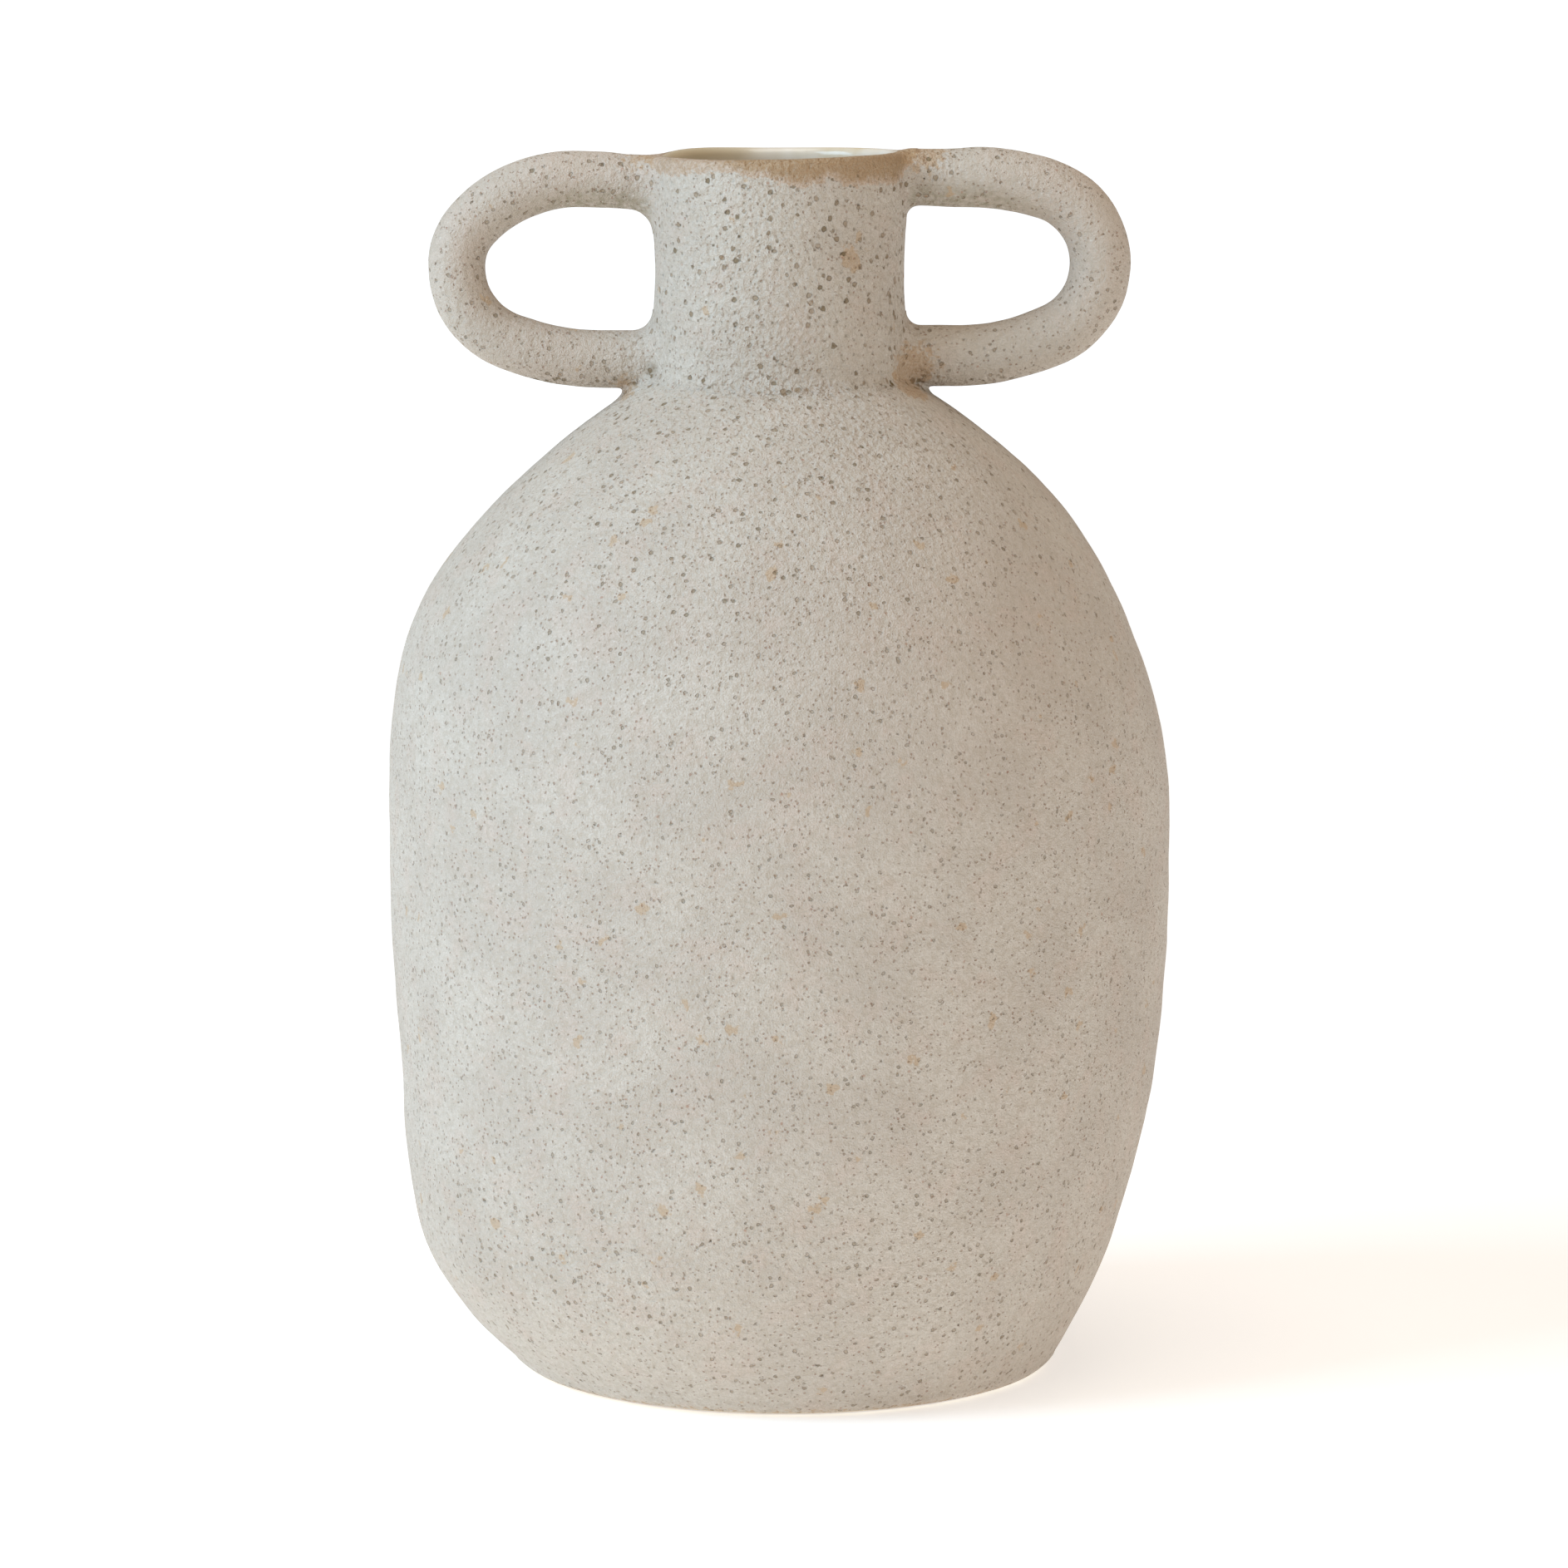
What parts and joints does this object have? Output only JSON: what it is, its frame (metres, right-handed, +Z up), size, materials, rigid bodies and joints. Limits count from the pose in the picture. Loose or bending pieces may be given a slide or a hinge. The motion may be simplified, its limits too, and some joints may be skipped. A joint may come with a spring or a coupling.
{
  "type": "two-handled stoneware vase",
  "caption": "Free-standing round-bodied stoneware vase with a turned foot ring, a short straight neck and loop handles joined to the neck.",
  "frame": {"origin": "centre of the foot, on the plane that the vase stands on", "axes": "+Z up along the axis of the vase; the two handles lie in the XZ plane, one on +X and one on -X; -Y is the front"},
  "size_m": [0.1924, 0.1924, 0.302],
  "materials": {
    "bare_clay": "unglazed fired stoneware, dry and slightly gritty",
    "matt_glaze": "matt cream-grey pitted glaze",
    "rim_glaze": "matt cream-grey glaze broken to ochre brown where it is thin at the rim",
    "liner_glaze": "glossy cream liner glaze"
  },
  "bodies": {
    "root": {"foot_ring": "bare_clay", "base_disc": "bare_clay", "body_wall": "matt_glaze", "neck_collar": "rim_glaze", "neck_joining_coil": "matt_glaze", "left_handle": "matt_glaze", "right_handle": "matt_glaze", "left_upper_luting": "rim_glaze", "left_lower_luting": "matt_glaze", "right_upper_luting": "rim_glaze", "right_lower_luting": "rim_glaze", "liner_glaze": "liner_glaze"}
  },
  "joints": []
}
